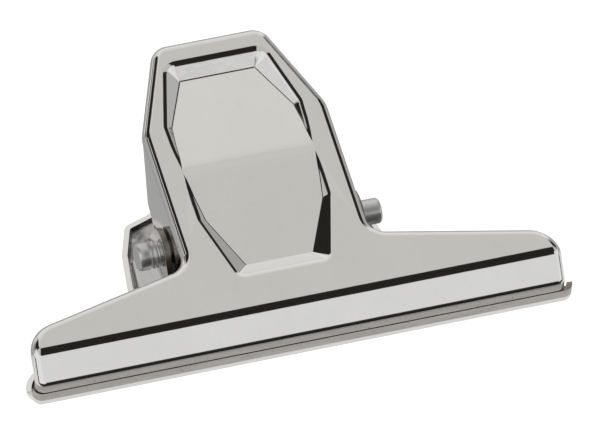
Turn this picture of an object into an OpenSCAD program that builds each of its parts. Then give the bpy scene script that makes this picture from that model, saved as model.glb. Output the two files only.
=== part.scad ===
// Bulldog letter clip: two pressed steel plates hinged on a pin and closed by a torsion spring.
// The clip lies on its rear plate. X runs along the lips, +Y from the lips to the handle tips, +Z up.
// Each plate is drawn in its own frame: outer face down at z = 0, lips at y = 0.

/* [Clip] */
// Width of the front jaw along its lips
jaw_width = 94.6; // [80:0.2:120]
// How much wider the rear jaw is than the front jaw
rear_jaw_extra = 1.8; // [0:0.1:2]
// Sideways offset of the front jaw from the middle of its handle
jaw_offset = 0.4; // [-0.5:0.1:0.5]
// Sideways offset of the rear jaw from the middle of its handle
rear_jaw_offset = 1; // [0:0.1:1.4]
// Sideways play that the rear plate has taken up, to the right
rear_play = 0; // [-0.2:0.1:0.2]
// Distance from the lips to the handle tips, along a plate
plate_length = 59.8; // [56:0.2:64]
// Thickness of the steel sheet
sheet = 1; // [0.8:0.05:1.2]
// Height of the closed lips above the outer face of a plate
lip_height = 6; // [5.6:0.1:6.6]
// Angle between a plate and the plane midway between the plates
plate_lean = 7.4; // [6.5:0.1:8.5]
// Gap left between the closed lips
lip_gap = 0.3; // [0.2:0.05:0.4]

/* [Jaw] */
// Depth of the turned-in lip of the front plate
front_lip = 2.1; // [1.9:0.1:2.8]
// Depth of the turned-in lip of the rear plate
rear_lip = 3.2; // [2.6:0.1:3.4]
// Distance from the lips to the fold under the jaw face
belly_y = 4.8; // [4:0.1:5.2]
// Outside radius of the folds along the jaw
fold_radius = 2; // [1.9:0.1:2.2]
// Depth of the turned-back rim round each plate, from its outer face
rim_depth = 1.7; // [1.5:0.1:1.8]
// Height of the jaw's outer corner along the plate
jaw_end_y = 9.2; // [8.8:0.1:9.8]
// Radius of the jaw's outer corner
jaw_end_radius = 4.6; // [3.5:0.1:4.8]

/* [Front handle] */
// Width of the front handle over its folded sides
front_width = 33.2; // [31:0.2:33.4]
// Width of the front handle at its tip
front_tip_width = 19.6; // [16:0.2:22]
// Distance from the lips to the waist of both plates
waist_y = 16; // [15.2:0.1:16.4]
// Distance from the lips to the shoulder of the front handle
front_shoulder_y = 42.7; // [41:0.1:44]
// Radius of the concave corner at the waist
waist_radius = 3; // [2:0.1:3.5]
// Distance from the lips to the deep corner of the front ears
front_ear_y = 35.5; // [34:0.1:37]
// Depth of the deep corner of the front ears
front_ear_depth = 11; // [9.5:0.1:11.5]

/* [Rear handle] */
// Width of the rear plate just above its waist
rear_waist_width = 49; // [47:0.5:51]
// Width of the rear plate beside the pin
rear_middle_width = 46.4; // [45:0.2:48]
// Distance from the lips to the widest place beside the pin
rear_middle_y = 25.6; // [24:0.2:27]
// Width of the rear plate at its lower shoulder
rear_width = 43.8; // [42:0.2:45]
// Distance from the lips to the lower shoulder of the rear plate
rear_shoulder_y = 33; // [32:0.1:35]
// Width of the rear plate at the top of its shoulder
rear_neck_width = 28; // [26:0.5:30]
// Distance from the lips to the top of the rear shoulder
rear_neck_y = 41.7; // [40.8:0.1:43]
// Width of the rear handle at its tip
rear_tip_width = 18; // [16:0.5:20]
// Distance between the outer faces of the rear ears at the pin
rear_ear_width = 35.8; // [35.6:0.1:38]
// Distance from the lips to the upper edge of the rear ears
rear_ear_y = 31; // [30:0.1:32]

/* [Pressed panel] */
// Depth of each handle's pressed panel at the handle tip
panel_depth = 2.2; // [1.8:0.1:2.4]
// Depth of the panel at its end towards the jaw
foot_depth = 1.8; // [1.4:0.1:2]
// Width of the sloping wall at the panel's ends
panel_wall = 2.6; // [2.2:0.1:3]
// Distance from the lips to the crease in the panel's floor, where its depth is nothing
crease_y = 34.1; // [33:0.1:35]

/* [Hinge] */
// Distance from the lips to the hinge pin, in the plane midway between the plates
pin_reach = 24.6; // [24:0.1:25.4]
// Diameter of the pin between its two ends
pin_diameter = 4.1; // [3.8:0.05:4.3]
// Diameter of the formed head on the left end of the pin
head_diameter = 4.9; // [4.7:0.05:5.2]
// Diameter of the upset right end of the pin
stub_diameter = 4.5; // [4.45:0.05:4.8]
// Overall length of the pin
pin_length = 43.8; // [42.5:0.1:46]
// Chamfer on both ends of the pin
pin_chamfer = 0.4; // [0.2:0.05:0.6]
// Radial clearance of the pin in the front ears, which turn on it
running_clearance = 0.06; // [0.03:0.01:0.1]
// Radial clearance of the pin in the rear ears, which hold it
seat_clearance = 0.02; // [0.01:0.01:0.04]
// Gap between each pin end and the rear ear beside it
end_gap = 0.25; // [0.1:0.05:0.4]
// Radius of the ears round the pin
ear_radius = 4.3; // [4:0.1:4.5]

/* [Spring] */
// Diameter of the spring wire
wire = 1.6; // [1.4:0.1:1.7]
// Mean radius of the spring's curls
coil_radius = 3.6; // [3.55:0.05:3.7]
// Whole curls in the spring
curls = 11; // [8:1:11]
// Distance from one curl to the next
curl_pitch = 2.34; // [2.2:0.01:2.36]
// Angle of the spring's legs to the plane midway between the plates
leg_angle = 25; // [24:1:26]
// Length of each straight leg
leg_length = 12; // [11:0.1:12.4]

/* [Hidden] */
$fn = 64;
arc_steps = 5;
hull_steps = 3;
overlap = 0.02;
plate_color = [0.76, 0.755, 0.735];
pin_color = [0.68, 0.68, 0.67];
spring_color = [0.55, 0.55, 0.56];
front_tip_radius = 2.9;
front_shoulder_radius = 5;
rear_corner_radius = 2;
web_radius = 2;
web_height = 6;
rear_neck_half = 19.4;
coil_rings = 8;
wire_sides = 6;
half = 0.5;

// Pin centre in a plate's own frame
pin_y = pin_reach * cos(plate_lean);
pin_z = lip_height + pin_reach * sin(plate_lean);
ear_top = pin_z + ear_radius + 1;
rear_jaw_width = jaw_width + rear_jaw_extra;
along_mid = [cos(plate_lean), sin(plate_lean)];
across_mid = [sin(plate_lean), -cos(plate_lean)];

function unit(v) = v / norm(v);
function left_normal(a, b) = let (d = unit(b - a)) [-d[1], d[0]];
function turn(a, b, c) = cross(b - a, c - b) >= 0 ? 1 : -1;
function corner_centre(a, b, c, r) =
    let (n1 = left_normal(a, b), n2 = left_normal(b, c))
    b + turn(a, b, c) * r * (n1 + n2) / (1 + n1 * n2);

// Points round one corner, moved to the left of the path by inset
function corner_arc(a, b, c, r, inset, steps) =
    let (
        s = turn(a, b, c),
        n1 = left_normal(a, b),
        n2 = left_normal(b, c),
        centre = corner_centre(a, b, c, r),
        start = atan2(-s * n1[1], -s * n1[0]),
        sweep = s * acos(min(1, n1 * n2))
    )
    r <= max(0, s * inset) || sweep == 0
        ? [b + inset * (n1 + n2) / (1 + n1 * n2)]
        : [for (i = [0:steps])
            centre + (r - s * inset) * [cos(start + sweep * i / steps), sin(start + sweep * i / steps)]];

// Closed outline, counter-clockwise, each corner given as [x, y, radius]
function closed_outline(corners, inset, steps) =
    let (n = len(corners), p = [for (c = corners) [c[0], c[1]]])
    [for (i = [0:n - 1])
        each corner_arc(p[(i + n - 1) % n], p[i], p[(i + 1) % n], corners[i][2], inset, steps)];

// Open folded path with one radius at each fold
function folded_path(p, r, inset) =
    let (n = len(p))
    concat(
        [p[0] + inset * left_normal(p[0], p[1])],
        [for (i = [1:n - 2]) each corner_arc(p[i - 1], p[i], p[i + 1], r, inset, arc_steps)],
        [p[n - 1] + inset * left_normal(p[n - 2], p[n - 1])]
    );
function reversed(p) = [for (i = [len(p) - 1:-1:0]) p[i]];
function folded_strip(p, r, thickness) =
    concat(folded_path(p, r, 0), reversed(folded_path(p, r, thickness)));
function both_sides(right) =
    concat(right, [for (i = [len(right) - 1:-1:0]) [-right[i][0], right[i][1], right[i][2]]]);

// Moves the corners of the jaw, which lie below jaw_top, sideways
jaw_top = jaw_end_y + 1;
function with_jaw_offset(corners, offset) =
    [for (c = corners) [c[0] + (c[1] < jaw_top ? offset : 0), c[1], c[2]]];

// Place where a line from a point touches a circle, on the given side
function touch_point(from, centre, r, side) =
    let (
        way = centre - from,
        far = norm(way),
        angle = atan2(way[1], way[0]) + side * asin(r / far)
    )
    from + sqrt(far * far - r * r) * [cos(angle), sin(angle)];

// Jaw section from the lip over the lower fold and the belly to the plate
function jaw_path(lip) =
    let (tip = [0, lip_height] + lip_gap * half * across_mid)
    [tip, [0, lip_height] + lip * across_mid, [belly_y, 0], [belly_y + fold_radius, 0]];

function front_corners() = with_jaw_offset(both_sides([
    [jaw_width * half, belly_y, 0],
    [jaw_width * half, jaw_end_y, jaw_end_radius],
    [front_width * half, waist_y, waist_radius],
    [front_width * half, front_shoulder_y, front_shoulder_radius],
    [front_tip_width * half, plate_length, front_tip_radius]
]), jaw_offset);
function rear_corners() = with_jaw_offset(both_sides([
    [rear_jaw_width * half, belly_y, 0],
    [rear_jaw_width * half, jaw_end_y, jaw_end_radius],
    [rear_waist_width * half, waist_y - 1.5, waist_radius],
    [rear_middle_width * half, rear_middle_y, rear_corner_radius],
    [rear_width * half, rear_shoulder_y, rear_corner_radius],
    [rear_neck_half, rear_neck_y - 2, rear_corner_radius],
    [rear_neck_width * half, rear_neck_y, rear_corner_radius],
    [rear_tip_width * half, plate_length, front_tip_radius]
]), rear_jaw_offset);

// Half of the pressed panel above or below its crease: half widths at the crease, the corner and the end
panel_end = 4.3;
function upper_panel(crease, corner, tip, inset) = both_sides([
    [crease, crease_y, 0],
    [corner - inset * half, 43.5, 3],
    [tip - inset * half, plate_length - panel_end - inset, 1.6]
]);
function lower_panel(crease, corner, foot, inset) = both_sides([
    [foot - inset * half, 11.7 + inset, 1.6],
    [corner - inset * half, 24.2, 3],
    [crease, crease_y, 0]
]);

// The same outline carried on below the belly, so that the rim stays open towards the jaw
function open_below(corners) = [for (c = corners) [c[0], c[1] == belly_y ? -belly_y : c[1], c[2]]];

module rim_and_face(corners) {
    linear_extrude(sheet) polygon(closed_outline(corners, 0, arc_steps));
    difference() {
        linear_extrude(rim_depth) polygon(closed_outline(corners, 0, arc_steps));
        translate([0, 0, -1])
            linear_extrude(rim_depth + 2)
                polygon(closed_outline(open_below(corners), sheet, arc_steps));
    }
}

module along_x(length) {
    rotate([90, 0, 90]) translate([0, 0, -length * half]) linear_extrude(length) children();
}

module jaw(lip, width) {
    path = jaw_path(lip);
    along_x(width) polygon(folded_strip(path, fold_radius, sheet));
    for (side = [-1, 1])
        translate([side * (width - sheet) * half, 0, 0])
            along_x(sheet) polygon(folded_strip(path, fold_radius, rim_depth));
}

// Wedge of the panel on one side of its crease; its floor sinks from base at the crease to base + depth
module panel_wedge(outline, floor_outline, grow, base, depth, reach) {
    fall = atan(depth / reach);
    hull() {
        translate([0, 0, base > 0 ? 0 : -0.4])
            linear_extrude(overlap) polygon(closed_outline(outline, -grow, hull_steps));
        translate([0, crease_y, base - overlap])
            rotate([fall, 0, 0])
                translate([0, -crease_y, 0])
                    linear_extrude(overlap) polygon(closed_outline(floor_outline, -grow, hull_steps));
    }
}

module pressed_panel(widths, grow, base) {
    crease = (widths[1] + widths[2]) * half;
    panel_wedge(
        upper_panel(crease, widths[1], widths[0], 0), upper_panel(crease, widths[1], widths[0], panel_wall),
        grow, base, panel_depth, plate_length - panel_end - panel_wall - crease_y);
    panel_wedge(
        lower_panel(crease, widths[2], widths[3], 0), lower_panel(crease, widths[2], widths[3], panel_wall),
        grow, base, -foot_depth, crease_y - 11.7 - panel_wall);
}

// Side view of an ear: a base along the plate and a round end about the pin
module ear_side(low_y, high_y, upper) {
    pin = [pin_y, pin_z];
    translate(pin) circle(ear_radius);
    polygon([
        [low_y, 0],
        [high_y, 0],
        upper,
        touch_point(upper, pin, ear_radius, -1),
        pin,
        touch_point([low_y, 0], pin, ear_radius, 1)
    ]);
}

module front_ears() {
    for (side = [-1, 1])
        translate([side * (front_width - sheet) * half, 0, 0])
            along_x(sheet)
                ear_side(waist_y + 1, front_shoulder_y - 1.5, [front_ear_y, front_ear_depth]);
}

module rear_ears() {
    section = [
        [rear_width * half, 0],
        [rear_ear_width * half, web_height],
        [rear_ear_width * half, ear_top]
    ];
    for (side = [0, 1])
        mirror([side, 0, 0])
            intersection() {
                translate([0, rear_ear_y + 1, 0])
                    rotate([90, 0, 0])
                        linear_extrude(rear_ear_y)
                            polygon(folded_strip(section, web_radius, sheet));
                along_x(2 * rear_width) ear_side(waist_y - 1, rear_ear_y, [rear_ear_y, web_height]);
            }
}

module pin_bore(clearance) {
    translate([0, pin_y, pin_z])
        rotate([0, 90, 0])
            cylinder(h = 2 * pin_length, r = pin_diameter * half + clearance, center = true);
}

module pressed_plate(corners, panel, lip, width, offset, clearance) {
    difference() {
        union() {
            rim_and_face(corners);
            translate([offset, 0, 0]) jaw(lip, width);
            pressed_panel(panel, sheet * half, sheet);
            children();
        }
        pressed_panel(panel, 0, 0);
        pin_bore(clearance);
    }
}

// Turns a plate's own frame over to the front of the clip
module to_front() {
    translate([0, 0, lip_height])
        rotate([plate_lean, 0, 0])
            mirror([0, 0, 1])
                rotate([-plate_lean, 0, 0])
                    translate([0, 0, -lip_height])
                        children();
}

// Centre of the clip's length on the surface it lies on
front_fold = corner_centre(jaw_path(front_lip)[0], jaw_path(front_lip)[1], jaw_path(front_lip)[2], fold_radius);
from_lip = front_fold - [0, lip_height];
lowest_y = from_lip[0] * cos(2 * plate_lean) + from_lip[1] * sin(2 * plate_lean) - fold_radius;
centre_y = (plate_length + lowest_y) * half;

module on_centre() {
    translate([-rear_jaw_offset - rear_play, -centre_y, 0]) children();
}

module front_plate() {
    color(plate_color)
        on_centre() to_front()
            pressed_plate(front_corners(), [8.8, 12.1, 11.7, 8.1], front_lip, jaw_width, jaw_offset,
                running_clearance)
                front_ears();
}

module rear_plate() {
    color(plate_color)
        on_centre() translate([rear_play, 0, 0])
            pressed_plate(rear_corners(), [6.2, 9.9, 9.7, 7.1], rear_lip, rear_jaw_width, rear_jaw_offset,
                seat_clearance)
                rear_ears();
}

// One end of the pin outside a rear ear, drawn along +Z from the ear outwards
module pin_end(diameter, length) {
    rotate_extrude()
        polygon([
            [0, 0],
            [diameter * half - pin_chamfer * half, 0],
            [diameter * half, pin_chamfer],
            [diameter * half, length - pin_chamfer],
            [diameter * half - pin_chamfer, length],
            [0, length]
        ]);
}

module hinge_pin() {
    left = rear_ear_width * half - rear_play + end_gap;
    right = rear_ear_width * half + rear_play + end_gap;
    color(pin_color)
        on_centre() translate([0, pin_y, pin_z])
            union() {
                translate([-left - 1, 0, 0]) rotate([0, 90, 0]) cylinder(h = left + right + 2, d = pin_diameter);
                translate([-left, 0, 0]) rotate([0, -90, 0]) pin_end(head_diameter, pin_length * half - left);
                translate([right, 0, 0]) rotate([0, 90, 0]) pin_end(stub_diameter, pin_length * half - right);
            }
}

// Centreline of the spring about the pin: leg, curls, leg
turned = 180 - 2 * leg_angle + 360 * curls;
coil_length = curl_pitch * turned / 360;
coil_count = ceil(coil_rings * turned / 360);
function coil_point(i) =
    let (angle = 90 + leg_angle + turned * i / coil_count)
    [-coil_length * half + coil_length * i / coil_count, coil_radius * cos(angle), coil_radius * sin(angle)];
function leg_point(side, s) =
    let (start = coil_point(side > 0 ? 0 : coil_count))
    start + s * [0, cos(leg_angle), side * sin(leg_angle)];
spring_line = concat(
    [leg_point(1, leg_length), leg_point(1, leg_length - wire), leg_point(1, wire)],
    [for (i = [0:coil_count]) coil_point(i)],
    [leg_point(-1, wire), leg_point(-1, leg_length - wire), leg_point(-1, leg_length)]
);

function line_way(p, i) = unit(p[min(i + 1, len(p) - 1)] - p[max(i - 1, 0)]);
function ring_at(p, i, r) =
    let (
        w = line_way(p, i),
        u = unit([1, 0, 0] - (w * [1, 0, 0]) * w),
        v = cross(w, u)
    )
    [for (k = [0:wire_sides - 1])
        p[i] + r * (cos(360 * k / wire_sides) * u + sin(360 * k / wire_sides) * v)];

module wound_tube(p, r) {
    n = len(p);
    points = [for (i = [0:n - 1]) each ring_at(p, i, r)];
    sides = [for (i = [0:n - 2], k = [0:wire_sides - 1])
        let (
            a = i * wire_sides + k,
            b = i * wire_sides + (k + 1) % wire_sides
        )
        each [[a, a + wire_sides, b + wire_sides], [a, b + wire_sides, b]]];
    first = [for (k = [1:wire_sides - 2]) [0, k, k + 1]];
    base = (n - 1) * wire_sides;
    last = [for (k = [1:wire_sides - 2]) [base, base + k + 1, base + k]];
    polyhedron(points, concat(sides, first, last));
}

// Least gap of the wire to itself, measured between points at least half a curl apart
spring_gap = min([for (i = [0:coil_count])
    min([for (j = [0:len(spring_line) - 1])
        abs(j - 3 - i) < coil_rings * half ? wire * 10 : norm(coil_point(i) - spring_line[j])])]) - wire;
echo(spring_gap = spring_gap);

module torsion_spring() {
    color(spring_color)
        on_centre() translate([0, pin_y, pin_z])
            rotate([plate_lean, 0, 0])
                wound_tube(spring_line, wire * half);
}

front_plate();
rear_plate();
hinge_pin();
torsion_spring();
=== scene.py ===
"""Bulldog letter clip: the dressed model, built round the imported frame."""

from math import acos, asin, atan2, cos, pi, radians, sin, sqrt, tan

import bmesh
import bpy
from mathutils import Matrix, Vector
from mathutils.geometry import tessellate_polygon


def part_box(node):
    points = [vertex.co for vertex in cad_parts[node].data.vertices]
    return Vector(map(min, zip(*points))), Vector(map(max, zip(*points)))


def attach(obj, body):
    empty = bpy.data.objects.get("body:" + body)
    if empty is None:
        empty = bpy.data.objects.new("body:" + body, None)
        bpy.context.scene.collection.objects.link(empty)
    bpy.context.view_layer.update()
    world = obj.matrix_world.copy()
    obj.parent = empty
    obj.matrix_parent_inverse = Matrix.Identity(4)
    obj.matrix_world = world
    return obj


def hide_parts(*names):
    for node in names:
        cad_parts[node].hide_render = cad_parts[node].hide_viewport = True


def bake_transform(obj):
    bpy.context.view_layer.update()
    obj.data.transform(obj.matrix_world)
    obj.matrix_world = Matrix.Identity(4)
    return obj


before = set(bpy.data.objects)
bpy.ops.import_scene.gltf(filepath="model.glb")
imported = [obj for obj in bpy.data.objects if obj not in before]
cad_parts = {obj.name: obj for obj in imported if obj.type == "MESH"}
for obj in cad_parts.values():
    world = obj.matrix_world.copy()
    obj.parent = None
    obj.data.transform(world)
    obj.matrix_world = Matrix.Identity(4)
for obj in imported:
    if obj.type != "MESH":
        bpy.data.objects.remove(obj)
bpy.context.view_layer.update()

bl_info = {
    "name": "Bulldog clip",
    "version": (1, 0, 0),
    "blender": (4, 5, 0),
    "location": "View3D > Sidebar > Bulldog clip",
    "description": "Builds a plated bulldog clip: two pressed plates, a hinge pin and a torsion spring",
    "category": "Add Mesh",
}

MM = 0.001


# Settings

class PlateSizes(bpy.types.PropertyGroup):
    """Sizes of the two pressed plates in millimetres, and the angle at which they lean."""

    length: bpy.props.FloatProperty(
        name="Plate length", description="From the lips to the handle tips", default=59.8, min=56, max=64)
    lean: bpy.props.FloatProperty(
        name="Plate lean", description="Angle of each plate to the middle plane", subtype="ANGLE",
        default=radians(7.4))
    lip_height: bpy.props.FloatProperty(
        name="Lip height", description="Height of the closed lips above a plate's outer face", default=6.0)
    sheet: bpy.props.FloatProperty(
        name="Sheet", description="Thickness of the steel sheet", default=0.96, min=0.8, max=1.2)
    edge_bend: bpy.props.FloatProperty(
        name="Edge bend", description="Outside radius of the turned-back edge",
        default=1.6, min=1.1, max=1.8)
    rim_depth: bpy.props.FloatProperty(
        name="Rim depth", description="Depth of the turned-back rim", default=1.7)
    belly_y: bpy.props.FloatProperty(
        name="Belly", description="From the lips to the fold under the jaw face", default=4.8)
    belly_bend: bpy.props.FloatProperty(
        name="Belly bend", description="Outside radius of the fold below the plate", default=2.9)
    lip_bend: bpy.props.FloatProperty(
        name="Lip bend", description="Outside radius of the fold behind the lip", default=1.75)
    panel_depth: bpy.props.FloatProperty(
        name="Panel depth", description="Depth of the pressed panel at the handle tip", default=2.2)
    foot_depth: bpy.props.FloatProperty(
        name="Foot depth", description="Depth of the panel at its end towards the jaw", default=1.8)
    crease_y: bpy.props.FloatProperty(
        name="Crease", description="From the lips to the crease in the panel's floor", default=34.1)
    jaw_offset: bpy.props.FloatProperty(
        name="Jaw offset", description="Sideways offset of the front jaw from its handle", default=0.4)
    rear_jaw_offset: bpy.props.FloatProperty(
        name="Rear jaw offset", description="Sideways offset of the rear jaw from its handle", default=1.0)


class ClipColours(bpy.types.PropertyGroup):
    """Colours of the metals and the stage."""

    plating: bpy.props.FloatVectorProperty(
        name="Plating", description="Bright nickel plating of the plates", subtype="COLOR",
        size=3, min=0, max=1, default=(0.76, 0.755, 0.735))
    cut_edge: bpy.props.FloatVectorProperty(
        name="Cut edge", description="Sheared edge of the sheet", subtype="COLOR",
        size=3, min=0, max=1, default=(0.3, 0.26, 0.23))
    # Inner faces: a dark colour that is painted shade between the plates, on top of their thinly plated and
    # stained metal
    inside: bpy.props.FloatVectorProperty(
        name="Inside", description="Inner faces, thinly plated and stained", subtype="COLOR",
        size=3, min=0, max=1, default=(0.42, 0.41, 0.395))
    lip: bpy.props.FloatVectorProperty(
        name="Worn lip", description="Lips where the plating is rubbed", subtype="COLOR",
        size=3, min=0, max=1, default=(0.46, 0.435, 0.415))
    pin: bpy.props.FloatVectorProperty(
        name="Pin steel", description="Steel of the hinge pin", subtype="COLOR",
        size=3, min=0, max=1, default=(0.88, 0.88, 0.87))
    spring: bpy.props.FloatVectorProperty(
        name="Spring steel", description="Steel of the wound spring", subtype="COLOR",
        size=3, min=0, max=1, default=(0.74, 0.73, 0.72))
    floor: bpy.props.FloatVectorProperty(
        name="Floor", description="Plain floor under the clip", subtype="COLOR",
        size=3, min=0, max=1, default=(0.9, 0.9, 0.9))


# Shader maths

class Socket:
    """One shader value whose operators add Math nodes."""

    def __init__(self, shader, link):
        self.shader = shader
        self.link = link

    def _math(self, operation, *values):
        return self.shader.node("ShaderNodeMath", {"operation": operation}, dict(enumerate(values)))

    def __add__(self, other):
        return self._math("ADD", self, other)

    __radd__ = __add__

    def __sub__(self, other):
        return self._math("SUBTRACT", self, other)

    def __rsub__(self, other):
        return self._math("SUBTRACT", other, self)

    def __mul__(self, other):
        return self._math("MULTIPLY", self, other)

    def above(self, low, high):
        """0 below low, 1 above high, smooth between."""
        return self.shader.node(
            "ShaderNodeMapRange", {"interpolation_type": "SMOOTHSTEP", "clamp": True},
            {0: self, 1: low, 2: high, 3: 0.0, 4: 1.0})


class Shader:
    """A node tree that is written as expressions."""

    def __init__(self, owner):
        owner.use_nodes = True
        self.tree = owner.node_tree
        self.tree.nodes.clear()

    def node(self, kind, settings=None, values=None, output=0):
        """Adds a node, sets its settings, links or sets its inputs, and returns one of its outputs."""
        made = self.tree.nodes.new(kind)
        for name, value in (settings or {}).items():
            setattr(made, name, value)
        for name, value in (values or {}).items():
            if isinstance(value, Socket):
                self.tree.links.new(value.link, made.inputs[name])
            else:
                made.inputs[name].default_value = value
        return Socket(self, made.outputs[output]) if len(made.outputs) else None

    def vector(self, operation, values, output=0):
        return self.node("ShaderNodeVectorMath", {"operation": operation}, values, output)

    def dot(self, direction, way):
        return self.vector("DOT_PRODUCT", {0: direction, 1: tuple(way)}, output=1)

    def part(self, place, axis):
        """One of the three parts of a place or a direction."""
        return self.node("ShaderNodeSeparateXYZ", None, {0: place}, output=axis)

    def noise(self, place, stretch, detail=2.0, rough=0.5):
        """Noise from 0 to 1 whose grain is 1 / stretch metres along each axis."""
        wide = self.vector("MULTIPLY", {0: place, 1: stretch})
        return self.node("ShaderNodeTexNoise", None,
                         {"Vector": wide, "Scale": 1.0, "Detail": detail, "Roughness": rough})

    def rotate(self, place, angle):
        """The place turned about Z by an angle in degrees."""
        return self.node("ShaderNodeVectorRotate", {"rotation_type": "Z_AXIS"},
                         {"Vector": place, "Angle": radians(angle)})

    def mix_colour(self, factor, low, high):
        """The colour low where factor is 0 and high where it is 1."""
        return self.node("ShaderNodeMix", {"data_type": "RGBA"}, {0: factor, 6: low, 7: high}, output=2)


def four(colour, level=1.0):
    """A colour times a level, with the alpha that a node's socket takes."""
    return (colour[0] * level, colour[1] * level, colour[2] * level, 1.0)


# Stage: studio, floor, camera

# From the clip to the camera, the camera's right and up, and the point that it looks at
VIEW = Vector((-0.2298, -0.6827, 0.6937)).normalized()
VIEW_RIGHT = Vector((0.95488, -0.29593, 0.02507))
VIEW_UP = Vector((0.18816, 0.66812, 0.71987))
AIM = Vector((2.95, -15.35, 21.56)) * MM
CAMERA_DISTANCE = 2.6
VIEW_WIDTH = 102.4 * MM
SENSOR_WIDTH = 36.0

# The way that the flat front plate mirrors, and level ways to the studio's sides
PLATE_MIRROR = Vector((0.2298, 0.2520, 0.9402)).normalized()
OPEN_SIDE = Vector((0.225, 0.974, 0.0))
FRONT_SIDE = Vector((0.252, -0.968, 0.0))
RIGHT_SIDE = Vector((1.0, 0.0, 0.0))
LEFT_FRONT = Vector((-0.954, -0.301, 0.0))
LEFT_BACK = Vector((-0.902, 0.431, 0.0))

# Ways to the studio's cards, each with the degrees at which it ends and those at which it is whole
DARK_CARD = (Vector((-0.62, 0.70, 0.35)).normalized(), 14, 8)
GREY_CARD = (Vector((0.95, 0.29, 0.08)).normalized(), 34, 24)
WALL_CARD = (Vector((0.765, 0.59, 0.25)).normalized(), 13, 10)
WALL_SHADES = (
    (Vector((-0.53, 0.56, 0.635)).normalized(), 10.5, 9),
    (Vector((-0.75, 0.355, 0.555)).normalized(), 8.5, 7),
)

# The same for the ways round the plate's mirror direction in which the ring is black
LEFT_FAN = (Vector((-0.959, 0.224, 0.173)), 38, 29)
RIGHT_FAN = (Vector((0.912, 0.274, -0.304)), 38, 29)
FRONT_FAN = (Vector((0.127, -0.965, 0.228)), 22, 18)

# Degrees from the plate's mirror direction at which the ring starts and ends
RING_START = (12, 16)
RING_END = (66, 70)
RING_CUT_RIGHT = 18
RING_CUT_LEFT = 14
LEFT_FAN_END = (46, 50)

WHITE = (1.0, 1.0, 1.0)
GREY_RING = (0.62, 0.62, 0.61)
BLACK_RING = (0.022, 0.02, 0.018)

# The floor, with the stretches along Y in which the metal sees it turn from dark to white to grey
FLOOR_Z = -0.05 * MM
FLOOR_REACH = 1.5
FLOOR_DARK_END = (-0.046, -0.036)
FLOOR_GREY_START = (-0.024, -0.004)
FLOOR_GLOW = 0.72
FLOOR_MIRRORED = 0.85


class CLIP_OT_stage(bpy.types.Operator):
    """Studio surroundings, floor and camera"""

    bl_idname = "clip.stage"
    bl_label = "Stage"

    def execute(self, context):
        colours = context.scene.clip_colours
        studio(context.scene)
        floor(colours.floor)
        camera(context.scene)
        return {"FINISHED"}


class Studio:
    """Pale walls round the clip, with the dark and grey parts that the bright plates mirror."""

    def __init__(self, world):
        self.shader = Shader(world)
        s = self.shader
        self.direction = s.node("ShaderNodeTexCoord", output=0)
        self.toward = s.dot(self.direction, PLATE_MIRROR)
        self.away = s.node("ShaderNodeMath", {"operation": "ARCCOSINE"}, {0: self.toward}) * (180 / pi)
        level_way = s.vector("MULTIPLY", {0: self.direction, 1: (1, 1, 0)})
        heading = s.vector("NORMALIZE", {0: level_way})
        self.front = s.dot(heading, FRONT_SIDE).above(0.8, 0.9)
        self.behind = s.dot(heading, OPEN_SIDE).above(0.76, 0.86)
        self.right_hand = s.dot(heading, RIGHT_SIDE).above(0.3, 0.6)
        self.left_front = s.dot(heading, LEFT_FRONT).above(0.8, 0.93)
        self.left_back = s.dot(heading, LEFT_BACK).above(0.9, 0.96)
        self.wall_card = self.card(self.direction, *WALL_CARD)

    def card(self, direction, way, outer, inner):
        """1 within inner degrees of a way, 0 beyond outer degrees."""
        return self.shader.dot(direction, way).above(cos(radians(outer)), cos(radians(inner)))

    def walls(self):
        """Pale walls, greyer in front, low behind and to the left, and dark low in front."""
        s = self.shader
        back_tilt = s.part(self.direction, 1)
        height = s.part(self.direction, 2)
        sideways = s.dot(self.direction, (1, 0, 0)) - 0.23
        across = s.node("ShaderNodeMath", {"operation": "ABSOLUTE"}, {0: sideways})
        low_behind = (1 - height.above(0.12, 0.4)) * self.behind * (1 - self.right_hand)
        low_left = (1 - height.above(0.55, 0.7)) * self.left_back
        low_front = (1 - height.above(0.16, 0.22)) * self.front * (1 - across.above(0.08, 0.14))
        colour = s.mix_colour(self.away.above(8, 60), four((0.69, 0.685, 0.67)), four((0.95, 0.95, 0.96)))
        for amount, wall in (
                (back_tilt.above(0.28, 0.46) * 0.45, (0.96, 0.95, 0.93)),
                (self.front * 0.6, (0.79, 0.79, 0.805)),
                (self.card(self.direction, *GREY_CARD), (0.55, 0.55, 0.55)),
                (self.wall_card, (0.45, 0.45, 0.445)),
                (low_behind, (0.5, 0.5, 0.5)),
                (low_left, (0.5, 0.5, 0.5)),
                (low_front, (0.05, 0.05, 0.05)),
                (self.card(self.direction, *DARK_CARD), (0.03, 0.03, 0.03))):
            colour = s.mix_colour(amount, colour, four(wall))
        return colour

    def ring(self):
        """A ring round the way that the plate mirrors, open behind, which lines the plate's folds."""
        outer = self.away + self.right_hand * RING_CUT_RIGHT + self.left_front * RING_CUT_LEFT
        ring = self.away.above(*RING_START) * (1 - outer.above(*RING_END))
        return ring * (1 - self.behind) * (1 - self.wall_card)

    def fans(self):
        """The stretches of the ring that are black."""
        s = self.shader
        along = s.vector("SCALE", {0: tuple(PLATE_MIRROR), 3: self.toward})
        round_mirror = s.vector("SUBTRACT", {0: self.direction, 1: along})
        spread = s.vector("NORMALIZE", {0: round_mirror})
        black = self.card(spread, *FRONT_FAN)
        black = black + self.card(spread, *LEFT_FAN) * (1 - self.away.above(*LEFT_FAN_END))
        black = black + self.card(spread, *RIGHT_FAN)
        for shade in WALL_SHADES:
            black = black + self.card(self.direction, *shade)
        return black.above(0, 1)


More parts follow.
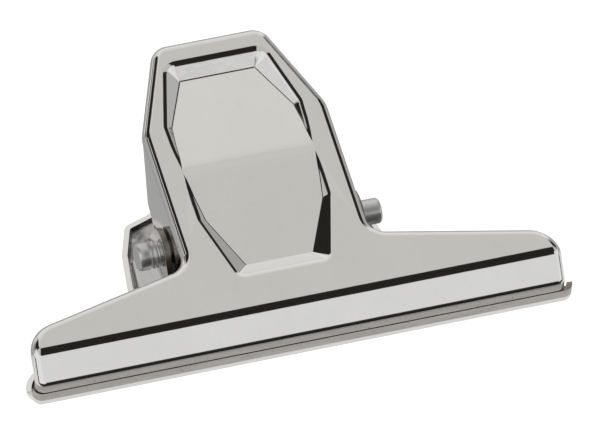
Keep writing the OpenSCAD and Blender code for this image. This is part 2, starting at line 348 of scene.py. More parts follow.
def studio(scene):
    """Surroundings that the camera sees as white and the metal sees as the studio."""
    world = bpy.data.worlds.new("studio")
    scene.world = world
    made = Studio(world)
    s = made.shader
    ring = made.ring()
    seen = s.mix_colour(ring, made.walls(), four(GREY_RING))
    seen = s.mix_colour(ring * made.fans(), seen, four(BLACK_RING))
    camera_ray = s.node("ShaderNodeLightPath", output=0)
    shown = s.mix_colour(camera_ray, seen, four(WHITE))
    light = s.node("ShaderNodeBackground", None, {"Color": shown, "Strength": 1.0})
    s.node("ShaderNodeOutputWorld", None, {"Surface": light})
    scene.view_settings.view_transform = "Standard"


def floor(colour):
    """Plain pale floor: white to the camera but for shadows, and shaded in front to the metal."""
    mesh = bpy.data.meshes.new("floor")
    corners = [(x * FLOOR_REACH, y * FLOOR_REACH, 0) for x, y in ((-1, -1), (1, -1), (1, 1), (-1, 1))]
    mesh.from_pydata(corners, [], [(0, 1, 2, 3)])
    floor_object = bpy.data.objects.new("floor", mesh)
    floor_object.location = (0, 0, FLOOR_Z)
    bpy.context.scene.collection.objects.link(floor_object)
    material = bpy.data.materials.new("white_floor")
    s = Shader(material)
    diffuse = s.node("ShaderNodeBsdfDiffuse", None, {"Color": four(colour)})
    place = s.node("ShaderNodeTexCoord", output=3)
    depth = s.part(place, 1)
    near = s.mix_colour(depth.above(*FLOOR_DARK_END), four((0.02, 0.02, 0.02)), four(WHITE))
    card = s.mix_colour(depth.above(*FLOOR_GREY_START), near, four((0.5, 0.5, 0.5)))
    glow = s.node("ShaderNodeEmission", None, {"Color": four(WHITE), "Strength": FLOOR_GLOW})
    mirrored = s.node("ShaderNodeEmission", None, {"Color": card, "Strength": FLOOR_MIRRORED})
    camera_ray = s.node("ShaderNodeLightPath", output=0)
    glossy_ray = s.node("ShaderNodeLightPath", output=3)
    both = s.node("ShaderNodeAddShader", None, {0: diffuse, 1: glow})
    reflected = s.node("ShaderNodeMixShader", None, {0: glossy_ray, 1: diffuse, 2: mirrored})
    shown = s.node("ShaderNodeMixShader", None, {0: camera_ray, 1: reflected, 2: both})
    s.node("ShaderNodeOutputMaterial", None, {"Surface": shown})
    mesh.materials.append(material)


def camera(scene):
    """A long lens at the photograph's viewing angle."""
    data = bpy.data.cameras.new("camera")
    data.sensor_width = SENSOR_WIDTH
    data.lens = SENSOR_WIDTH * CAMERA_DISTANCE / VIEW_WIDTH
    data.clip_start = 0.1
    data.clip_end = 20
    obj = bpy.data.objects.new("camera", data)
    scene.collection.objects.link(obj)
    turn = Matrix((VIEW_RIGHT, VIEW_UP, VIEW)).transposed()
    obj.matrix_world = Matrix.Translation(AIM + VIEW * CAMERA_DISTANCE) @ turn.to_4x4()
    scene.camera = obj


# Metals

def metal(name, build, metallic=1.0):
    """A metal whose colour, roughness and height come from build(shader, place)."""
    if name in bpy.data.materials:
        return bpy.data.materials[name]
    material = bpy.data.materials.new(name)
    s = Shader(material)
    colour, roughness, height, depth = build(s, s.node("ShaderNodeTexCoord", output=3))
    bump = s.node("ShaderNodeBump", None, {"Height": height, "Strength": 0.6, "Distance": depth})
    shader = s.node("ShaderNodeBsdfPrincipled", None, {
        "Base Color": colour, "Metallic": metallic, "Roughness": roughness, "Normal": bump})
    s.node("ShaderNodeOutputMaterial", None, {"Surface": shader})
    return material


def scratches(s, place, angle, density):
    """Fine straight scratches in one direction, 0 to 1."""
    line = s.noise(s.rotate(place, angle), (150, 9000, 150), 1.0).above(0.66, 0.74)
    patch = s.noise(s.rotate(place, angle), (260, 900, 260), 2.0).above(density, density + 0.12)
    return line * patch


def plating(name, colour):
    """Bright nickel: faint clouding, hairline scratches, rubbed edges."""
    def build(s, place):
        cloud = s.noise(place, (90, 60, 90), 3.0)
        dapple = s.noise(place, (700, 700, 700), 3.0, 0.6)
        hair = scratches(s, place, 17, 0.62) + scratches(s, place, -64, 0.64)
        rub = s.node("ShaderNodeNewGeometry", output=7).above(0.55, 0.62)
        tint = s.mix_colour(cloud.above(0.35, 0.7), four(colour, 0.985), four(colour, 1.01))
        tint = s.mix_colour(dapple.above(0.55, 0.75) * 0.3, tint, four(colour, 0.93))
        tint = s.mix_colour(rub * 0.5, tint, four((0.82, 0.81, 0.79)))
        roughness = 0.05 + cloud * 0.04 + hair * 0.06 + rub * 0.08
        return tint, roughness, dapple * 0.12 + cloud * 0.8 - hair * 0.03, 0.00008
    return metal(name, build)


def sheared_edge(colour):
    """Cut edge of the sheet: drag lines across it and a duller broken band."""
    def build(s, place):
        drag = s.noise(place, (2600, 2600, 500), 2.0)
        grain = s.noise(place, (1500, 1500, 1500), 4.0, 0.7)
        tint = s.mix_colour(drag.above(0.35, 0.65), four(colour, 0.8), four(colour, 1.15))
        tint = s.mix_colour(grain.above(0.6, 0.7) * 0.4, tint, four((0.3, 0.27, 0.25)))
        return tint, 0.28 + grain * 0.25, drag + grain * 0.6, 0.00006
    return metal("sheared_edge", build)


def worn_lip(colour):
    """Gripping lips: the plating is rubbed thin and greyed by paper."""
    def build(s, place):
        rub = s.noise(place, (120, 900, 900), 3.0, 0.6)
        pit = s.noise(place, (2400, 2400, 2400), 2.0).above(0.66, 0.72)
        drag = s.noise(place, (3800, 600, 600), 2.0)
        tint = s.mix_colour(rub.above(0.35, 0.65), four(colour, 0.92), four(colour, 1.08))
        tint = s.mix_colour(drag.above(0.55, 0.7) * 0.35, tint, four(colour, 1.25))
        tint = s.mix_colour(pit * 0.6, tint, four((0.26, 0.24, 0.22)))
        return tint, 0.3 + rub * 0.2 + pit * 0.2, rub * 0.4 + drag * 0.4 - pit, 0.00004
    return metal("worn_lip", build)


def inner_face(colour):
    """Inner faces: thin dull plating, darkened as painted shade between the plates, with darker stains."""
    def build(s, place):
        stain = s.noise(place, (260, 260, 260), 4.0, 0.6)
        fine = s.noise(place, (1400, 1400, 1400), 2.0)
        # The dark end of this tint is painted shade between the plates; the stain noise adds random
        # mottling
        tint = s.mix_colour(stain.above(0.38, 0.62), four(colour, 0.45), four(colour, 1.25))
        return tint, 0.2 + stain * 0.15 + fine * 0.08, stain + fine * 0.3, 0.00005
    return metal("inner_plating_painted_shade", build)


def turned_steel(colour):
    """Turned steel: fine rings from the tool, brighter and darker bands."""
    def build(s, place):
        ring = s.noise(place, (1900, 140, 140), 3.0, 0.65)
        band = s.noise(place, (1800, 260, 260), 2.0)
        tint = s.mix_colour(ring.above(0.42, 0.58), four(colour, 0.4), four(colour, 1.12))
        tint = s.mix_colour(band.above(0.55, 0.7) * 0.4, tint, four((0.5, 0.49, 0.47)))
        return tint, 0.24 + ring * 0.16, ring + band * 0.5, 0.00006
    return metal("pin_steel", build, metallic=0.4)


def spring_wire(colour):
    """Drawn spring wire: streaks along the wire, browned by oil between the turns."""
    def build(s, place):
        streak = s.noise(place, (5200, 420, 420), 2.0, 0.6)
        oil = s.noise(place, (500, 500, 500), 3.0)
        tint = s.mix_colour(streak.above(0.35, 0.65), four(colour, 0.7), four(colour, 1.2))
        tint = s.mix_colour(oil.above(0.5, 0.68) * 0.5, tint, four((0.24, 0.205, 0.175)))
        return tint, 0.12 + oil * 0.15, streak, 0.00002
    return metal("spring_steel", build)


# Outlines: corners are [x, y, radius], counter-clockwise

LEAST_RADIUS = 0.15


def both_sides(right):
    """An outline's right side with its mirror image."""
    return right + [[-x, y, r] for x, y, r in reversed(right)]


def on_circle(centre, radius, angle):
    return centre + radius * Vector((cos(angle), sin(angle)))


def corner_round(before, at, after, radius, steps, inset=0.0):
    """Points of the round between two straight edges, with its corner moved inwards by inset."""
    first = (at - before).normalized()
    second = (after - at).normalized()
    side = 1 if first.cross(second) >= 0 else -1
    left_first = Vector((-first.y, first.x))
    left_second = Vector((-second.y, second.x))
    miter = (left_first + left_second) / (1 + left_first.dot(left_second))
    radius = max(radius - side * inset, LEAST_RADIUS)
    centre = at + inset * miter + side * radius * miter
    start = atan2(-side * left_first.y, -side * left_first.x)
    sweep = side * acos(max(-1.0, min(1.0, left_first.dot(left_second))))
    return [on_circle(centre, radius, start + sweep * k / steps) for k in range(steps + 1)]


def rounded(corners, move, steps):
    """Points of an outline with rounded corners, moved inwards by a length or by a function of y."""
    count = len(corners)
    points = []
    for i in range(count):
        y, radius = corners[i][1:]
        inset = move(y) if callable(move) else move
        before, at, after = (Vector(corners[(i + k) % count][:2]) for k in (-1, 0, 1))
        points += corner_round(before, at, after, radius, steps, inset)
    return points


def touch_point(start, centre, radius, side):
    """Where a line from start touches a circle."""
    way = centre - start
    angle = atan2(way.y, way.x) + side * asin(radius / way.length)
    return on_circle(start, sqrt(way.length_squared - radius ** 2), angle)


LIP_GAP = 0.15


class Section:
    """The jaw's folded section: from a distance along the sheet and a depth to a place."""

    def __init__(self, sizes, lip):
        lean = sizes.lean
        across = Vector((sin(lean), -cos(lean)))
        tip = Vector((0, sizes.lip_height)) + LIP_GAP * across
        corner = Vector((0, sizes.lip_height)) + lip * across
        belly = Vector((sizes.belly_y, 0))
        on_flat = belly + Vector((10, 0))
        self.parts = []
        heading = across
        place = tip
        along = 0.0
        for at, after, radius in ((corner, belly, sizes.lip_bend), (belly, on_flat, sizes.belly_bend)):
            new_heading = (after - at).normalized()
            turn = acos(heading.dot(new_heading))
            reach = radius * tan(turn / 2)
            straight = (at - place).length - reach
            self.parts.append((along, place, atan2(heading.y, heading.x), 0.0))
            along += straight
            place = place + heading * straight
            self.parts.append((along, place, atan2(heading.y, heading.x), 1 / radius))
            along += radius * turn
            place = at + new_heading * reach
            heading = new_heading
        self.parts.append((along, place, 0.0, 0.0))
        self.flat_from = along
        self.flat_y = place.x

    def along(self, y):
        """Distance along the sheet of a place on the flat."""
        return self.flat_from + y - self.flat_y

    def folds(self, steps):
        """Distances at which the sheet is cut into strips over its folds."""
        ends = [part[0] for part in self.parts]
        cuts = []
        for first, last in ((ends[1], ends[2]), (ends[3], ends[4])):
            cuts += [first + (last - first) * k / steps for k in range(steps + 1)]
        return cuts

    def place(self, along, depth):
        """The bent place of a distance along the sheet and a depth below its outer face."""
        start, point, heading, curve = next(
            part for part in reversed(self.parts) if along >= part[0] or part is self.parts[0])
        distance = along - start
        if curve:
            angle = heading + curve * distance
            point = point + Vector((sin(angle) - sin(heading), cos(heading) - cos(angle))) / curve
        else:
            angle = heading
            point = point + distance * Vector((cos(angle), sin(angle)))
        return point + depth * Vector((-sin(angle), cos(angle)))


# Pressed plates

RIM_STEPS = 7
CORNER_STEPS = 9
FOLD_STEPS = 10
EDGE_SLOT = 1
LIP_SLOT = 2
INNER_SLOT = 3

# Handle corners are (half width, distance from the lips, radius); panel widths run from foot to tip
JAW_END_Y = 9.3
JAW_END_RADIUS = 5.6
PAST_LIP = 6.0
PAST_LIP_RADIUS = 0.2
TIP_RADIUS = 3.4
FRONT_SHAPE = {
    "lip": 2.1, "worn": 0.45, "half_jaw": 47.3, "half_tip": 9.8,
    "handle": [(16.6, 16.0, 3.2), (16.6, 42.7, 6.0)],
    "panel": (8.1, 11.7, 12.1, 8.8),
}
REAR_SHAPE = {
    "lip": 3.2, "worn": -0.45, "half_jaw": 48.2, "half_tip": 9.0,
    "handle": [
        (24.5, 14.5, 3.0), (23.2, 25.6, 2.5), (21.9, 33.0, 2.0), (19.4, 39.7, 2.0), (14.0, 41.7, 2.0)],
    "panel": (7.1, 9.7, 9.9, 6.2),
}

# A front ear stands on the edge that follows its plate corner; a rear ear leans in to a knee, then stands
FRONT_EAR = {"corner": 2, "upper": Vector((35.5, 11.0)), "radius": 4.3, "bore": 2.11}
REAR_EAR = {
    "foot_x": 21.6, "foot_spread": 2.0, "foot_up": 0.4, "x": 17.9, "knee": 6.0, "bend": 2.0,
    "low": 15.0, "high": 31.0, "radius": 4.3, "bore": 2.07,
}
EAR_CORNER_RADIUS = 1.4
EAR_CORNER_STEPS = 6
EAR_STEPS = 26
BORE_STEPS = 32
KNEE_STEPS = 6

# Pressed panel: distances from the lips, radii, slopes and bends of its walls, and its crease
PANEL_FOOT_Y = 11.7
PANEL_FOOT_RADIUS = 1.6
PANEL_HIP_Y = 24.2
PANEL_SHOULDER_Y = 43.5
PANEL_SIDE_RADIUS = 3.0
PANEL_TIP_GAP = 4.3
PANEL_TIP_RADIUS = 2.4
TIP_SLOPE = radians(41)
FOOT_SLOPE = radians(34)
WALL_TOP_BEND = 1.9
WALL_FOOT_BEND = 0.5
WALL_STEPS = 5
LEAST_DEPTH = 0.0004
CREASE_STOPS = (-5.5, -3.2, -1.8, -0.9, 0.0, 0.9, 1.8, 3.2, 5.5)
CREASE_EASE = 0.8
FLOOR_LEVEL_OFF = 2.0
FLOOR_DEEPEST = 1.05

# How close two vertices are merged, how close a cut passes a vertex, and what counts as a sharp edge
MERGE = 1e-4
CUT_TOLERANCE = 1e-5
LIP_TOLERANCE = 1e-3
SHARP_ANGLE = radians(40)


def bent_edge(depth, radius, sheet):
    """Outer and inner section of the turned-back edge, as (inset, depth) from the free edge to the flat."""
    angles = [pi / 2 * k / RIM_STEPS for k in range(RIM_STEPS + 1)]
    outer = [(0, depth)] + [(radius - radius * cos(a), radius - radius * sin(a)) for a in angles]
    small = radius - sheet
    inner = [(sheet, depth)] + [(radius - small * cos(a), radius - small * sin(a)) for a in angles]
    return outer, inner


def panel_section(depth, steepest, first, second, sheet):
    """Outer and inner section of the pressed panel's wall, from the flat to the panel's floor."""
    slope = min(steepest, acos(1 - max(depth, LEAST_DEPTH) / (first + second)))
    start = -first * tan(slope / 2)
    wall = (depth - (first + second) * (1 - cos(slope))) / sin(slope)
    outer, inner = [], []
    for k in range(WALL_STEPS + 1):
        a = slope * k / WALL_STEPS
        outer.append((start + first * sin(a), first * (1 - cos(a))))
        inner.append((start + (first - sheet) * sin(a), first - (first - sheet) * cos(a)))
    foot = (outer[-1][0] + wall * cos(slope), outer[-1][1] + wall * sin(slope))
    centre = (foot[0] + second * sin(slope), foot[1] - second * cos(slope))
    for k in range(WALL_STEPS + 1):
        a = slope * (1 - k / WALL_STEPS)
        outer.append((centre[0] - second * sin(a), centre[1] + second * cos(a)))
        inner.append((centre[0] - (second + sheet) * sin(a), centre[1] + (second + sheet) * cos(a)))
    return outer, inner


def panel_outline(section, sizes, widths):
    """Corners of the pressed panel, with stops on each side where its depth changes fast."""
    foot, hip, shoulder, tip = widths
    stops = [(foot, PANEL_FOOT_Y, PANEL_FOOT_RADIUS), (hip, PANEL_HIP_Y, PANEL_SIDE_RADIUS)]
    for gap in CREASE_STOPS:
        y = sizes.crease_y + gap
        share = (y - PANEL_HIP_Y) / (PANEL_SHOULDER_Y - PANEL_HIP_Y)
        stops.append((hip + (shoulder - hip) * share, y, LEAST_RADIUS))
    stops.append((shoulder, PANEL_SHOULDER_Y, PANEL_SIDE_RADIUS))
    stops.append((tip, sizes.length - PANEL_TIP_GAP, PANEL_TIP_RADIUS))
    return both_sides([[x, section.along(y), r] for x, y, r in stops])


def press_panel(shell, outline, sizes, crease, rings):
    """Two sloping floors that meet at the crease, with a folded wall all round, on both faces."""
    high = max(y for x, y, r in outline)
    low = min(y for x, y, r in outline)

    def line(y, side):
        gap = y - crease
        full, reach = (sizes.panel_depth, high - crease) if gap > 0 else (sizes.foot_depth, crease - low)
        eased = sqrt(gap * gap + CREASE_EASE) - sqrt(CREASE_EASE)
        depth = min(full * eased / (reach - FLOOR_LEVEL_OFF), full * FLOOR_DEEPEST)
        slope = TIP_SLOPE if gap > 0 else FOOT_SLOPE
        return panel_section(depth, slope, WALL_TOP_BEND, WALL_FOOT_BEND, sizes.sheet)[side]

    for side, plate_rings in enumerate(rings):
        slot = (0, INNER_SLOT)[side]
        wall = []
        for j in range(2 * (WALL_STEPS + 1)):
            points = rounded(outline, lambda y: line(y, side)[j][0], CORNER_STEPS)
            wall.append([shell.bm.verts.new((p.x, p.y, line(p.y, side)[j][1])) for p in points])
        for first, second in zip(wall, wall[1:]):
            shell.strips(first, second, slot=slot)
        shell.fill([plate_rings[-1], wall[0]], slot)
        bottom = wall[-1]
        count = len(bottom)
        for i in range(count // 2 - 1):
            shell.face([bottom[i], bottom[i + 1], bottom[count - 2 - i], bottom[count - 1 - i]], slot)


class Shell:
    """Collects the faces of one pressed plate in its flat pattern: x, distance along the sheet, depth."""

    def __init__(self, bm=None):
        self.bm = bmesh.new() if bm is None else bm

    def ring(self, points, depth):
        """Vertices at one depth."""
        return [self.bm.verts.new((p.x, p.y, depth)) for p in points]

    def face(self, verts, slot=0):
        made = self.bm.faces.new(verts)
        made.material_index = slot
        made.smooth = True
        return made

    def strips(self, first, second, slot=0, skip=()):
        """Faces between two rings of the same count, but for those in skip."""
        count = len(first)
        for i in range(count):
            if i in skip:
                continue
            j = (i + 1) % count
            self.face([first[i], first[j], second[j], second[i]], slot)

    def fill(self, loops, slot=0, flat=lambda v: (v.co.x, v.co.y, 0)):
        """Triangles over a loop with holes, seen as flat gives it."""
        verts = [v for loop in loops for v in loop]
        for triangle in tessellate_polygon([[flat(v) for v in loop] for loop in loops]):
            corners = [verts[i] for i in triangle]
            a, b, c = (Vector(flat(v)) for v in corners)
            if (b - a).cross(c - a).z < 0:
                corners.reverse()
            self.face(corners, slot)


def round_end(pin, radius, first, last):
    """Points round the pin from one touching point to another."""
    start = atan2(first.y - pin.y, first.x - pin.x)
    end = atan2(last.y - pin.y, last.x - pin.x)
    while end < start:
        end += 2 * pi
    angles = [start + (end - start) * k / EAR_STEPS for k in range(EAR_STEPS + 1)]
    return [on_circle(pin, radius, angle) for angle in angles]


def ear_outline(foot_low, foot_high, upper, pin, radius):
    """Side of an ear between two feet: up to its deep corner, round the pin and back, as (y, depth)."""
    first = touch_point(upper, pin, radius, -1)
    last = touch_point(foot_low, pin, radius, 1)
    corner = corner_round(foot_high, upper, first, EAR_CORNER_RADIUS, EAR_CORNER_STEPS)
    return corner + round_end(pin, radius, first, last)


def circle(centre, radius):
    return [on_circle(centre, radius, 2 * pi * k / BORE_STEPS) for k in range(BORE_STEPS)]


def plate_corners(section, sizes, shape, offset):
    """Flat pattern of a plate; the jaw's ends run past the lip, where the sheet is cut off."""
    half_jaw = shape["half_jaw"]
    handle = shape["handle"] + [(shape["half_tip"], sizes.length, TIP_RADIUS)]
    right = [[half_jaw, -PAST_LIP, PAST_LIP_RADIUS], [half_jaw, section.along(JAW_END_Y), JAW_END_RADIUS]]
    right += [[x, section.along(y), r] for x, y, r in handle]
    return [[x + (offset if abs(x) >= half_jaw else 0), y, r] for x, y, r in both_sides(right)]


def cut_across(bm, along, clear=False):
    """Cuts the faces that cross a distance along the sheet, and clears what lies before it if asked."""
    bmesh.ops.bisect_plane(bm, geom=bm.verts[:] + bm.edges[:] + bm.faces[:], dist=CUT_TOLERANCE,
                           plane_co=(0, along, 0), plane_no=(0, 1, 0), clear_inner=clear)


def press_plate(sizes, shape, offset, pin, ear=None):
    """One plate: its flat pattern with rims, panel and any folded ears, bent over the jaw's folds."""
    section = Section(sizes, shape["lip"])
    corners = plate_corners(section, sizes, shape, offset)
    panel = panel_outline(section, sizes, shape["panel"])
    shell = Shell()
    edges = bent_edge(sizes.rim_depth, sizes.edge_bend, sizes.sheet)
    both = [[shell.ring(rounded(corners, inset, CORNER_STEPS), depth) for inset, depth in edge]
            for edge in edges]
    points = CORNER_STEPS + 1
    skip = ()
    if ear:
        right_edge = (ear["corner"] + 1) * points - 1
        left_edge = (len(corners) - 1 - ear["corner"]) * points - 1
        skip = (right_edge, left_edge)
    for rings, slot in zip(both, (0, INNER_SLOT)):
        for k in range(len(rings) - 1):
            shell.strips(rings[k], rings[k + 1], slot=slot, skip=skip if k == 0 else ())
    shell.strips(both[0][0], both[1][0], skip=skip)
    press_panel(shell, panel, sizes, section.along(sizes.crease_y), both)
    if ear:
        shift = section.flat_from - section.flat_y
        for ends in ((right_edge, right_edge + 1), (left_edge + 1, left_edge)):
            raise_ear(shell, both, ends, shift, ear, pin)
    trim_lip(shell.bm, section, section.parts[1][0] + shape["worn"])
    for v in shell.bm.verts:
        at = section.place(v.co.y, v.co.z)
        v.co = Vector((v.co.x, at.x, at.y))
    return shell.bm


def trim_lip(bm, section, worn_to):
    """Cuts the sheet off at the lip and into strips over the folds, and marks the worn stretch."""
    cut_across(bm, 0, clear=True)
    for cut in section.folds(FOLD_STEPS) + [worn_to]:
        cut_across(bm, cut)
    lip_edges = [e for e in bm.edges if e.is_boundary and all(abs(v.co.y) < LIP_TOLERANCE for v in e.verts)]
    before = set(bm.faces)
    bmesh.ops.holes_fill(bm, edges=lip_edges, sides=0)
    for made in set(bm.faces) - before:
        made.material_index = EDGE_SLOT
    for face in bm.faces:
        if face.material_index == 0 and face.calc_center_median().y < worn_to:
            face.material_index = LIP_SLOT


def raise_ear(shell, plate_rings, ends, shift, ear, pin):
    """Folded ear on a straight stretch of the plate's edge, with its bore."""
    low, high = ends
    feet = [plate_rings[0][0][i].co for i in ends]
    foot_low, foot_high = (Vector((foot.y - shift, foot.z)) for foot in feet)
    outline = ear_outline(foot_low, foot_high, ear["upper"], pin, ear["radius"])
    bore = circle(pin, ear["bore"])
    sides = []
    for rings, slot in zip(plate_rings, (0, INNER_SLOT)):
        x = rings[0][low].co.x
        edge = [shell.bm.verts.new((x, p.x + shift, p.y)) for p in outline]
        hole = [shell.bm.verts.new((x, p.x + shift, p.y)) for p in bore]
        loop = [rings[1][low], rings[1][high], rings[0][high]] + edge + [rings[0][low]]
        shell.fill([loop, hole], slot, from_the_side)
        sides.append(([rings[0][high]] + edge + [rings[0][low]], hole))
    close_ear(shell, sides)


def from_the_side(vert):
    """Where a vertex is seen from along the pin."""
    return (vert.co.y, vert.co.z, 0)


def close_ear(shell, sides):
    """Sheared edges round an ear and in its bore."""
    (outer_edge, outer_hole), (inner_edge, inner_hole) = sides
    for k in range(len(outer_edge) - 1):
        shell.face([outer_edge[k], outer_edge[k + 1], inner_edge[k + 1], inner_edge[k]], EDGE_SLOT)
    shell.strips(outer_hole, inner_hole, slot=EDGE_SLOT)


def standing_ear(bm, side, sizes, ear, pin):
    """Rear ear: leans in from the plate, folds upright at its knee and ends round the pin."""
    foot = Vector((ear["foot_x"], 0.0))
    knee = Vector((ear["x"], ear["knee"]))
    lean_in = (knee - foot).normalized()
    turn = acos(lean_in.y)
    reach = ear["bend"] * tan(turn / 2)
    low_foot = Vector((ear["low"], 0.0))
    low_touch = touch_point(low_foot, pin, ear["radius"], 1)
    upper = Vector((ear["high"], ear["knee"]))
    high_touch = touch_point(upper, pin, ear["radius"], -1)
    rows = [(foot + lean_in * ear["foot_up"], lean_in)]
    bend_start = knee - lean_in * reach
    centre = bend_start + Vector((-lean_in.y, lean_in.x)) * -ear["bend"]
    for k in range(KNEE_STEPS + 1):
        a = turn * k / KNEE_STEPS
        heading = Vector((lean_in.x * cos(a) + lean_in.y * sin(a), lean_in.y * cos(a) - lean_in.x * sin(a)))
        rows.append((centre + ear["bend"] * Vector((-heading.y, heading.x)), heading))

    def low_at(z):
        return low_foot.x + (low_touch.x - low_foot.x) * z / low_touch.y

    def high_at(z):
        if z <= upper.y:
            return upper.x
        return upper.x + (high_touch.x - upper.x) * (z - upper.y) / (high_touch.y - upper.y)

    shell = Shell(bm)
    outer_rows, inner_rows = [], []
    for at, heading in rows:
        inward = at + sizes.sheet * Vector((-heading.y, heading.x))
        ends = (low_at(at.y), high_at(at.y))
        spread = ear["foot_spread"] * max(0.0, 1 - at.y / (knee.y - reach))
        for lines, line in ((outer_rows, at), (inner_rows, inward)):
            lines.append([bm.verts.new((side * (line.x + wide), y, line.y))
                          for y, wide in zip(ends, (spread, 0.0))])
    for k in range(len(rows) - 1):
        for lines, slot in ((outer_rows, 0), (inner_rows, INNER_SLOT)):
            shell.face([lines[k][0], lines[k][1], lines[k + 1][1], lines[k + 1][0]], slot)
        for end in (0, 1):
            shell.face([outer_rows[k][end], outer_rows[k + 1][end], inner_rows[k + 1][end],
                        inner_rows[k][end]])
    shell.face([outer_rows[0][0], outer_rows[0][1], inner_rows[0][1], inner_rows[0][0]], EDGE_SLOT)
    rim = round_end(pin, ear["radius"], high_touch, low_touch)
    sides = []
    for lines, slot in ((outer_rows, 0), (inner_rows, INNER_SLOT)):
        x = lines[-1][0].co.x
        edge = [bm.verts.new((x, p.x, p.y)) for p in rim]
        hole = [bm.verts.new((x, p.x, p.y)) for p in circle(pin, ear["bore"])]
        shell.fill([[lines[-1][0], lines[-1][1]] + edge, hole], slot, from_the_side)
        sides.append(([lines[-1][1]] + edge + [lines[-1][0]], hole))
    close_ear(shell, sides)


def pin_place(sizes):
    """Pin centre in a plate's own frame, as (y, z) in millimetres."""
    low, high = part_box("hinge_pin")
    return Vector(((low[1] + high[1]) / 2 / MM + centre_y(sizes), (low[2] + high[2]) / 2 / MM))


def centre_y(sizes):
    """How far the plates' own frame lies behind the model's origin."""
    return sizes.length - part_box("rear_plate")[1][1] / MM


def finish_mesh(bm, name, materials, place):
    """Turns a shell in millimetres into a piece in metres, smooth but for its sheared edges."""
    bm.transform(place)
    bmesh.ops.remove_doubles(bm, verts=bm.verts, dist=MERGE)
    bmesh.ops.recalc_face_normals(bm, faces=bm.faces)
    bm.transform(Matrix.Scale(MM, 4))
    mesh = bpy.data.meshes.new(name)
    bm.to_mesh(mesh)
    bm.free()
    for material in materials:
        mesh.materials.append(material)
    mesh.set_sharp_from_angle(angle=SHARP_ANGLE)
    piece = bpy.data.objects.new(name, mesh)
    bpy.context.scene.collection.objects.link(piece)
    weights = piece.modifiers.new("even_shading", "WEIGHTED_NORMAL")
    weights.keep_sharp = True
    weights.mode = "FACE_AREA"
    weights.weight = 90
    return piece


def to_front(sizes):
    """Turns a plate's own frame over to the front of the clip."""
    lip = Matrix.Translation((0, 0, sizes.lip_height))
    lean = Matrix.Rotation(sizes.lean, 4, "X")
    over = Matrix.Diagonal((1, 1, -1, 1))
    return lip @ lean @ over @ lean.inverted() @ lip.inverted()


def to_centre(sizes):
    """Moves a plate's own frame to the model's origin."""
    return Matrix.Translation((-sizes.rear_jaw_offset, -centre_y(sizes), 0))


class CLIP_OT_front_plate(bpy.types.Operator):
    """Front plate: jaw, handle with its pressed panel, and the two inner ears"""

    bl_idname = "clip.front_plate"
    bl_label = "Front plate"

    def execute(self, context):
        sizes = context.scene.clip_sizes
        colours = context.scene.clip_colours
        bm = press_plate(sizes, FRONT_SHAPE, sizes.jaw_offset, pin_place(sizes), FRONT_EAR)
        place = to_centre(sizes) @ to_front(sizes)
        piece = finish_mesh(bm, "front_plate_pressing", plate_metals(colours), place)
        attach(piece, "front_half")
        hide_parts("front_plate")
        return {"FINISHED"}


class CLIP_OT_rear_plate(bpy.types.Operator):
    """Rear plate: jaw, handle with its pressed panel, and the two outer ears"""

    bl_idname = "clip.rear_plate"
    bl_label = "Rear plate"

    def execute(self, context):
        sizes = context.scene.clip_sizes
        colours = context.scene.clip_colours
        pin = pin_place(sizes)
        bm = press_plate(sizes, REAR_SHAPE, sizes.rear_jaw_offset, pin)
        for side in (-1, 1):
            standing_ear(bm, side, sizes, REAR_EAR, pin)
        piece = finish_mesh(bm, "rear_plate_pressing", plate_metals(colours), to_centre(sizes))
        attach(piece, "rear_half")
        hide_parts("rear_plate")
        return {"FINISHED"}


def plate_metals(colours):
    """The plates' metals, in the order of their slots."""
    return [
        plating("bright_plating", colours.plating),
        sheared_edge(colours.cut_edge),
        worn_lip(colours.lip),
        inner_face(colours.inside),
    ]


EAR_FACE_X = 18.15
PIN_SIDES = 48

# The pin's outline as (x, radius) pairs: from its left end, the left ear, the right ear and its right end
PIN_HEAD = (
    (-0.2, 0.0), (-0.2, 1.2), (-0.14, 2.0), (0.06, 2.3), (0.35, 2.4), (0.9, 2.45), (1.7, 2.45), (2.0, 2.40))
PIN_COLLARS = (
    (-1.45, 2.15), (-1.3, 2.12), (-1.2, 2.36), (-0.95, 2.45), (-0.75, 2.36), (-0.66, 2.14),
    (-0.56, 2.16), (-0.46, 2.38), (-0.2, 2.45), (-0.04, 2.3), (0.0, 2.05))
PIN_SHOULDER = ((0.0, 2.05), (0.02, 2.2), (0.1, 2.25))
PIN_UPSET_END = ((-0.75, 2.25), (-0.55, 2.2), (-0.3, 1.95), (-0.25, 1.8), (-0.25, 0.0))


class CLIP_OT_hinge_pin(bpy.types.Operator):
    """Hinge pin: turned head on the left, upset end on the right"""

    bl_idname = "clip.hinge_pin"
    bl_label = "Hinge pin"

    def execute(self, context):
        sizes = context.scene.clip_sizes
        colours = context.scene.clip_colours
        low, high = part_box("hinge_pin")
        half = (high[0] - low[0]) / 2 / MM
        pin = pin_place(sizes)
        profile = []
        starts = (-half, -EAR_FACE_X, EAR_FACE_X, half)
        for start, pairs in zip(starts, (PIN_HEAD, PIN_COLLARS, PIN_SHOULDER, PIN_UPSET_END)):
            profile += [(start + x, radius) for x, radius in pairs]
        bm = bmesh.new()
        turned(bm, profile, PIN_SIDES)
        place = to_centre(sizes) @ Matrix.Translation((0, pin.x, pin.y))
        piece = finish_mesh(bm, "turned_pin", [turned_steel(colours.pin)], place)
        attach(piece, "rear_half")
        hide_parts("hinge_pin")
        return {"FINISHED"}


def turned(bm, profile, steps):
    """A closed turned solid about X from (x, radius) pairs that start and end on the axis."""
    rings = []
    for x, radius in profile:
        if radius == 0:
            rings.append([bm.verts.new((x, 0, 0))])
        else:
            angles = [2 * pi * k / steps for k in range(steps)]
            rings.append([bm.verts.new((x, radius * cos(a), radius * sin(a))) for a in angles])
    for first, second in zip(rings, rings[1:]):
        for k in range(steps):
            j = (k + 1) % steps
            picks = ((first, k), (first, j), (second, j), (second, k))
            corners = [ring[i % len(ring)] for ring, i in picks]
            bm.faces.new(list(dict.fromkeys(corners))).smooth = True


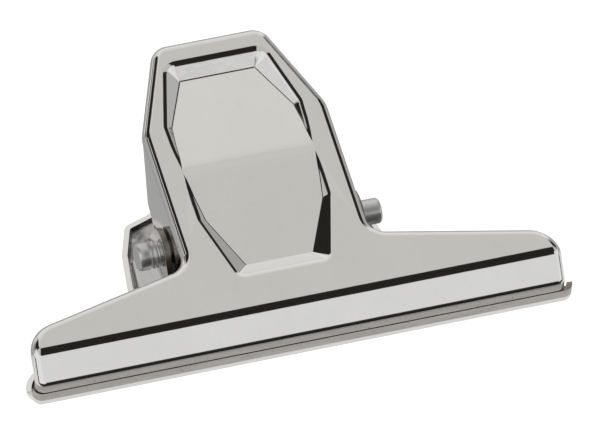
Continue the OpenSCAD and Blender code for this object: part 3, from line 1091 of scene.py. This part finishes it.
# The spring's wire, coil and legs in millimetres, with the stops along each leg out from the coil
WIRE_RADIUS = 0.8
WIRE_SIDES = 14
WIRE_END = 0.85
COIL_RADIUS = 3.6
COIL_PITCH = 2.34
WHOLE_TURNS = 11
LEG_ANGLE = radians(25)
LEG_STOPS = (12, 11.5, 8, 4, 1.2)
COIL_STEPS = 336


class CLIP_OT_torsion_spring(bpy.types.Operator):
    """Torsion spring: wound round the pin, with a straight leg on each plate"""

    bl_idname = "clip.torsion_spring"
    bl_label = "Torsion spring"

    def execute(self, context):
        sizes = context.scene.clip_sizes
        colours = context.scene.clip_colours
        pin = pin_place(sizes)
        turned_by = pi - 2 * LEG_ANGLE + 2 * pi * WHOLE_TURNS
        length = COIL_PITCH * turned_by / (2 * pi)
        line = []
        for k in range(COIL_STEPS + 1):
            angle = pi / 2 + LEG_ANGLE + turned_by * k / COIL_STEPS
            across = -length / 2 + length * k / COIL_STEPS
            line.append(Vector((across, COIL_RADIUS * cos(angle), COIL_RADIUS * sin(angle))))
        leg = Vector((0, cos(LEG_ANGLE), sin(LEG_ANGLE)))
        other_leg = Vector((0, cos(LEG_ANGLE), -sin(LEG_ANGLE)))
        first = [line[0] + d * leg for d in LEG_STOPS]
        last = [line[-1] + d * other_leg for d in reversed(LEG_STOPS)]
        bm = bmesh.new()
        tube(bm, first + line + last, WIRE_RADIUS, WIRE_SIDES)
        lean = Matrix.Rotation(sizes.lean, 4, "X")
        place = to_centre(sizes) @ Matrix.Translation((0, pin.x, pin.y)) @ lean
        piece = finish_mesh(bm, "wound_spring", [spring_wire(colours.spring)], place)
        reach = length / 2 * MM
        -reach
        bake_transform(piece)
        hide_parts("torsion_spring")
        return {"FINISHED"}


def tube(bm, line, radius, sides):
    """A closed round tube along a line, with slightly eased ends."""
    rings = []
    last = len(line) - 1
    for i, at in enumerate(line):
        way = (line[min(i + 1, last)] - line[max(i - 1, 0)]).normalized()
        u = (Vector((1, 0, 0)) - way.x * way).normalized()
        v = way.cross(u)
        reach = radius * (WIRE_END if i in (0, last) else 1.0)
        angles = [2 * pi * k / sides for k in range(sides)]
        rings.append([bm.verts.new(at + reach * (cos(a) * u + sin(a) * v)) for a in angles])
    for first, second in zip(rings, rings[1:]):
        for k in range(sides):
            j = (k + 1) % sides
            bm.faces.new([first[k], first[j], second[j], second[k]]).smooth = True
    bm.faces.new(list(reversed(rings[0])))
    bm.faces.new(rings[-1])


class CLIP_PT_panel(bpy.types.Panel):
    """Lists the clip's operators"""

    bl_label = "Bulldog clip"
    bl_space_type = "VIEW_3D"
    bl_region_type = "UI"
    bl_category = "Bulldog clip"

    def draw(self, context):
        for operator in OPERATORS:
            self.layout.operator(operator.bl_idname)


OPERATORS = (CLIP_OT_stage, CLIP_OT_front_plate, CLIP_OT_rear_plate, CLIP_OT_hinge_pin,
             CLIP_OT_torsion_spring)
CLASSES = (PlateSizes, ClipColours, *OPERATORS, CLIP_PT_panel)


def register():
    for made in CLASSES:
        bpy.utils.register_class(made)
    bpy.types.Scene.clip_sizes = bpy.props.PointerProperty(type=PlateSizes)
    bpy.types.Scene.clip_colours = bpy.props.PointerProperty(type=ClipColours)


def unregister():
    del bpy.types.Scene.clip_colours
    del bpy.types.Scene.clip_sizes
    for made in reversed(CLASSES):
        bpy.utils.unregister_class(made)


def main():
    register()
    bpy.ops.clip.stage()
    bpy.ops.clip.front_plate()
    bpy.ops.clip.rear_plate()
    bpy.ops.clip.hinge_pin()
    bpy.ops.clip.torsion_spring()


if __name__ == "__main__":
    main()
